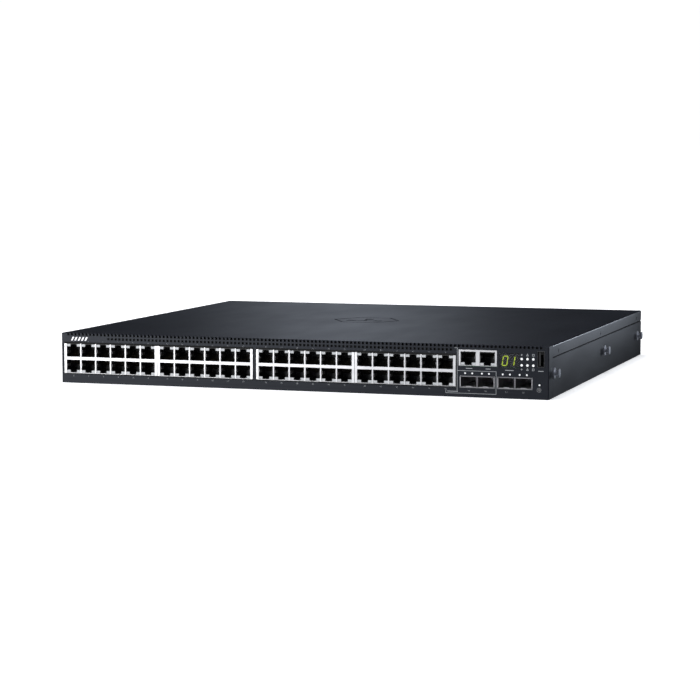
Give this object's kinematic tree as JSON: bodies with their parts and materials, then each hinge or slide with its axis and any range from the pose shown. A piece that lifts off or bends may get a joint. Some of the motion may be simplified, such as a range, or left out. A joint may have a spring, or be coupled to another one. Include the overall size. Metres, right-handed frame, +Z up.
{
  "type": "rackmount network switch",
  "caption": "Flat one-unit rackmount network switch: folded steel case, front rows of shielded ports, optics cages and a display, and slide-out power and fan modules at the back.",
  "frame": {"origin": "centre of the underside", "axes": "+X to the viewer's right when facing the front, +Y from the front to the back, +Z up"},
  "size_m": [0.444, 0.4294, 0.0435],
  "materials": {
    "case_paint": "satin dark charcoal powder coat",
    "port_tin": "bright nickel-plated sheet",
    "port_plastic": "black moulded",
    "contact_gold": "gold flash",
    "light_pipe": "clear, milky light pipe",
    "display_face": "dark display block",
    "display_glass": "smoked window",
    "board_green": "solder mask",
    "chip_black": "moulded package",
    "sink_aluminium": "extruded",
    "zinc_steel": "zinc-plated sheet",
    "stud_steel": "turned, nickel-plated",
    "fan_plastic": "black glass-filled",
    "touch_plastic": "teal touch point",
    "grip_plastic": "black grip",
    "button_plastic": "grey"
  },
  "bodies": {
    "chassis": {"chassis_base": "case_paint", "top_cover": "case_paint", "front_panel": "case_paint", "rear_panel": "case_paint", "port_shield_1": "port_tin", "port_shield_2": "port_tin", "port_shield_3": "port_tin", "port_shield_4": "port_tin", "service_shield": "port_tin", "sfp_cages": "port_tin", "usb_shell": "port_tin", "stack_ports": "port_tin", "port_housing_1": "port_plastic", "port_housing_2": "port_plastic", "port_housing_3": "port_plastic", "port_housing_4": "port_plastic", "service_housing": "port_plastic", "usb_tongue": "port_plastic", "port_contacts": "contact_gold", "port_light_pipes": "light_pipe", "status_light_pipes": "light_pipe", "display_module": "display_face", "display_window": "display_glass", "main_board": "board_green", "service_board": "board_green", "power_backplane": "board_green", "board_chips": "chip_black", "heatsinks": "sink_aluminium", "board_standoffs": "zinc_steel", "board_screws": "zinc_steel", "psu_bay_walls": "zinc_steel", "cover_screws": "zinc_steel", "rail_studs": "stud_steel", "reset_switch": "chip_black"},
    "reset_plunger": {"reset_button": "button_plastic"},
    "psu_1": {"psu_shell_1": "zinc_steel", "psu_inlet_1": "fan_plastic", "psu_handle_1": "grip_plastic", "psu_board_1": "board_green", "psu_fan_frame_1": "fan_plastic"},
    "psu_impeller_1": {"psu_rotor_1": "fan_plastic"},
    "psu_lever_1": {"psu_latch_1": "touch_plastic"},
    "fan_module_1": {"fan_tray_1": "zinc_steel", "fan_frame_1": "fan_plastic"},
    "fan_impeller_1": {"fan_rotor_1": "fan_plastic"},
    "fan_screw_1": {"fan_thumbscrew_1": "stud_steel"},
    "psu_2": {"psu_shell_2": "zinc_steel", "psu_inlet_2": "fan_plastic", "psu_handle_2": "grip_plastic", "psu_board_2": "board_green", "psu_fan_frame_2": "fan_plastic"},
    "psu_impeller_2": {"psu_rotor_2": "fan_plastic"},
    "psu_lever_2": {"psu_latch_2": "touch_plastic"},
    "fan_module_2": {"fan_tray_2": "zinc_steel", "fan_frame_2": "fan_plastic"},
    "fan_impeller_2": {"fan_rotor_2": "fan_plastic"},
    "fan_screw_2": {"fan_thumbscrew_2": "stud_steel"},
    "option_plate": {"option_cover": "case_paint"},
    "option_screw_left": {"option_thumbscrew_left": "stud_steel"},
    "option_screw_right": {"option_thumbscrew_right": "stud_steel"}
  },
  "joints": [
    {"name": "reset_press", "type": "slide", "parent": "chassis", "child": "reset_plunger", "axis": [0, 1, 0], "range_m": [0, 0.0008], "stiffness_N_per_m": 600, "springref_m": -0.0005},
    {"name": "psu_1_slide", "type": "slide", "parent": "chassis", "child": "psu_1", "axis": [0, 1, 0], "range_m": [0, 0.19]},
    {"name": "psu_1_latch_press", "type": "hinge", "parent": "psu_1", "child": "psu_lever_1", "pos_m": [-0.1409, 0.157, 0.021], "axis": [0, 0, 1], "range_deg": [0, 3], "stiffness_Nm_per_rad": 1, "springref_deg": -5.73},
    {"name": "psu_1_fan_spin", "type": "hinge", "parent": "psu_1", "child": "psu_impeller_1", "pos_m": [-0.1635, 0.1935, 0.02175], "axis": [0, 1, 0], "continuous": true},
    {"name": "fan_1_slide", "type": "slide", "parent": "chassis", "child": "fan_module_1", "axis": [0, 1, 0], "range_m": [0, 0.055]},
    {"name": "fan_1_spin", "type": "hinge", "parent": "fan_module_1", "child": "fan_impeller_1", "pos_m": [-0.034, 0.1935, 0.02175], "axis": [0, 1, 0], "continuous": true},
    {"name": "fan_1_screw_turn", "type": "hinge", "parent": "fan_module_1", "child": "fan_screw_1", "pos_m": [-0.0055, 0.2035, 0.01], "axis": [0, 1, 0], "continuous": true},
    {"name": "psu_2_slide", "type": "slide", "parent": "chassis", "child": "psu_2", "axis": [0, 1, 0], "range_m": [0, 0.19]},
    {"name": "psu_2_latch_press", "type": "hinge", "parent": "psu_2", "child": "psu_lever_2", "pos_m": [-0.0625, 0.157, 0.021], "axis": [0, 0, 1], "range_deg": [0, 3], "stiffness_Nm_per_rad": 1, "springref_deg": -5.73},
    {"name": "psu_2_fan_spin", "type": "hinge", "parent": "psu_2", "child": "psu_impeller_2", "pos_m": [-0.0851, 0.1935, 0.02175], "axis": [0, 1, 0], "continuous": true},
    {"name": "fan_2_slide", "type": "slide", "parent": "chassis", "child": "fan_module_2", "axis": [0, 1, 0], "range_m": [0, 0.055]},
    {"name": "fan_2_spin", "type": "hinge", "parent": "fan_module_2", "child": "fan_impeller_2", "pos_m": [0.027, 0.1935, 0.02175], "axis": [0, 1, 0], "continuous": true},
    {"name": "fan_2_screw_turn", "type": "hinge", "parent": "fan_module_2", "child": "fan_screw_2", "pos_m": [0.0555, 0.2035, 0.01], "axis": [0, 1, 0], "continuous": true},
    {"name": "option_cover_slide", "type": "slide", "parent": "chassis", "child": "option_plate", "axis": [0, 1, 0], "range_m": [0, 0.02]},
    {"name": "option_screw_left_turn", "type": "hinge", "parent": "option_plate", "child": "option_screw_left", "pos_m": [0.1285, 0.2035, 0.02175], "axis": [0, 1, 0], "continuous": true},
    {"name": "option_screw_right_turn", "type": "hinge", "parent": "option_plate", "child": "option_screw_right", "pos_m": [0.2075, 0.2035, 0.02175], "axis": [0, 1, 0], "continuous": true}
  ]
}
